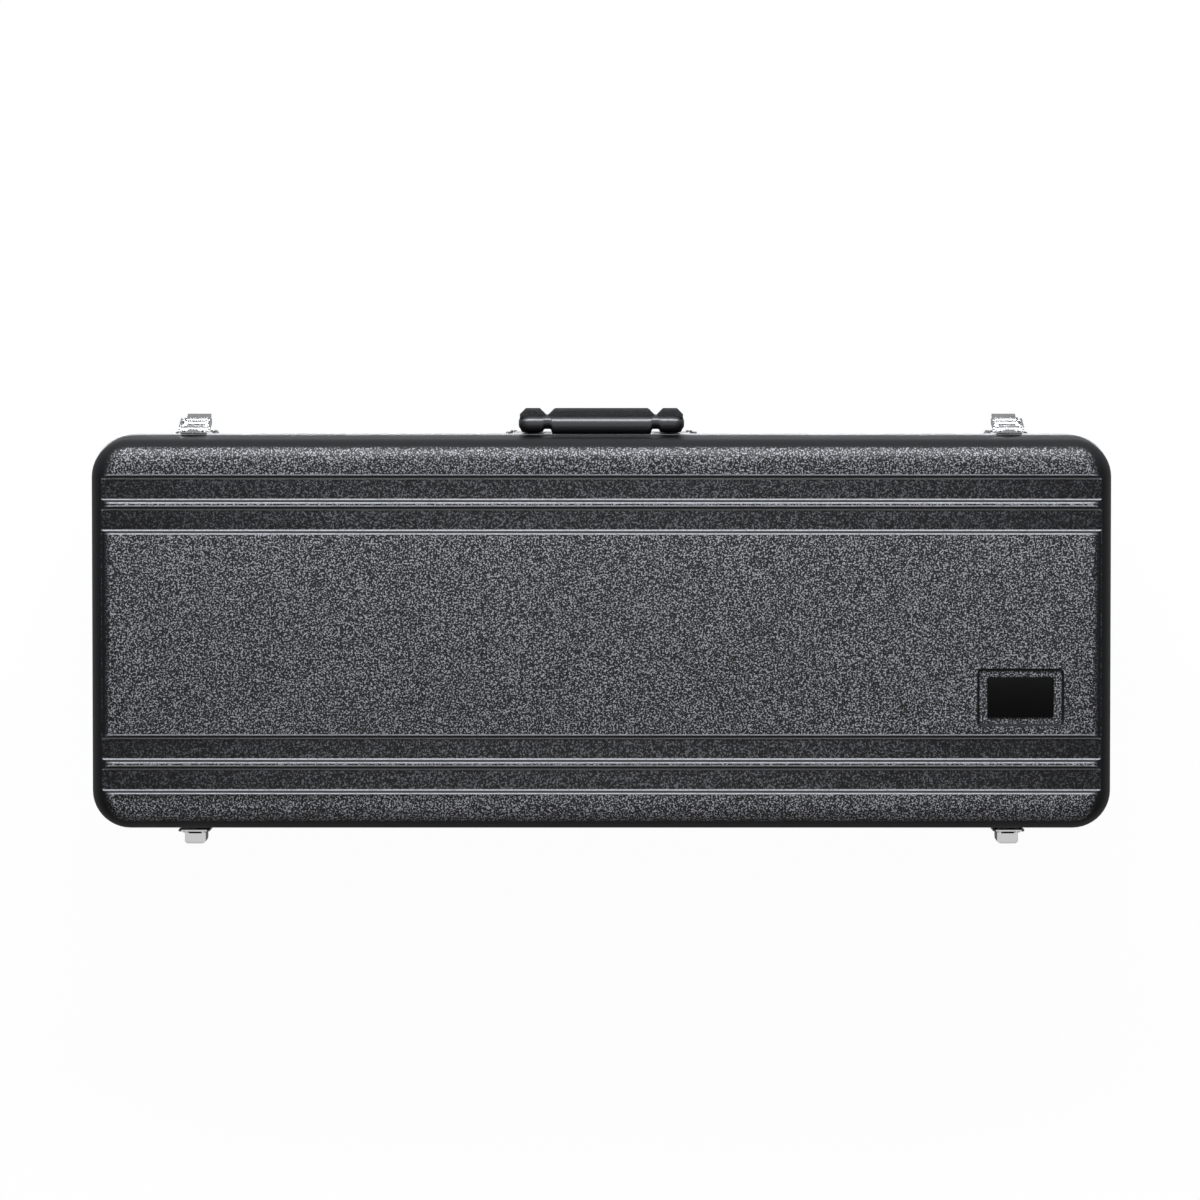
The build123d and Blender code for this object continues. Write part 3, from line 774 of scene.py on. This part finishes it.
def makeFloor(look):
    half = look["halfSize"]
    mesh = bpy.data.meshes.new("studioFloor")
    corners = [(-half, -half, 0), (half, -half, 0), (half, half, 0), (-half, half, 0)]
    mesh.from_pydata(corners, [], [(0, 1, 2, 3)])
    material, tree, bsdf = newMaterial("paleFloor")
    grain = noiseField(tree, objectPoint(tree), look["grainScale"], 2.0)
    colour = blendColour(tree, grain, grey(look["dark"]), grey(look["light"]))
    setSockets(tree, bsdf, {"Base Color": colour, "Roughness": look["roughness"]})
    path = addNode(tree, "ShaderNodeLightPath").outputs
    # white to the camera and dim in reflections, so that bright metal keeps its dark lines
    strength = remap(tree, path["Is Camera Ray"], 0.0, 1.0, look["mirroredGlow"], 1.0)
    glow = addNode(tree, "ShaderNodeEmission", {"Color": grey(1.0), "Strength": strength})
    mirrored = maths(tree, "MAXIMUM", path["Is Glossy Ray"], path["Is Transmission Ray"])
    mirrored = maths(tree, "MULTIPLY", mirrored, look["mirrored"])
    shown = maths(tree, "MULTIPLY", path["Is Camera Ray"], look["shown"])
    share = maths(tree, "MAXIMUM", shown, mirrored)
    mixed = addNode(tree, "ShaderNodeMixShader", {0: share, 1: bsdf.outputs[0], 2: glow.outputs[0]})
    tree.links.new(mixed.outputs[0], tree.nodes["Material Output"].inputs["Surface"])
    mesh.materials.append(material)
    floor = bpy.data.objects.new("studioFloor", mesh)
    bpy.context.scene.collection.objects.link(floor)


makeFloor(floorLook)

# soft studio light: the key stands behind the handle side, about 36 degrees up
lamps = {
    "keyStrip": {"at": (0, 2.45, 1.88), "size": (3.6, 0.7), "power": 188, "colour": (0.94, 0.97, 1)},
    "backFill": {"at": (0, -2.6, 1.5), "size": (3.0, 0.8), "power": 16, "colour": (1, 1, 1)},
}
lampAim = (0, 0, 0.1)
# the sky: white to the camera, and in reflections bright straight above and dark round it
skyLook = {"onObject": 0.1, "above": 0.8, "round": 0.05, "from": 0.80, "to": 0.93}


def makeLamps(wanted, aim):
    for name, lamp in wanted.items():
        data = bpy.data.lights.new(name, "AREA")
        data.shape = "RECTANGLE"
        data.size, data.size_y = lamp["size"]
        data.energy = lamp["power"]
        data.color = lamp["colour"]
        light = bpy.data.objects.new(name, data)
        bpy.context.scene.collection.objects.link(light)
        light.location = lamp["at"]
        away = Vector(lamp["at"]) - Vector(aim)
        light.rotation_euler = away.to_track_quat("Z", "Y").to_euler()


def makeSky(look):
    world = bpy.data.worlds.new("studio")
    bpy.context.scene.world = world
    world.use_nodes = True
    tree = world.node_tree
    path = addNode(tree, "ShaderNodeLightPath").outputs
    reflected = maths(tree, "MAXIMUM", path["Is Glossy Ray"], path["Is Transmission Ray"])
    direction = addNode(tree, "ShaderNodeTexCoord").outputs["Generated"]
    up = addNode(tree, "ShaderNodeSeparateXYZ", {"Vector": direction}).outputs["Z"]
    mirrored = remap(tree, up, look["from"], look["to"], look["round"], look["above"])
    strength = remap(tree, reflected, 0.0, 1.0, look["onObject"], mirrored)
    strength = remap(tree, path["Is Camera Ray"], 0.0, 1.0, strength, 1.0)
    setSockets(tree, tree.nodes["Background"], {"Strength": strength, "Color": grey(1.0)})


makeLamps(lamps, lampAim)
makeSky(skyLook)
print("floor and light set")

bpy.context.scene.view_settings.view_transform = "Standard"
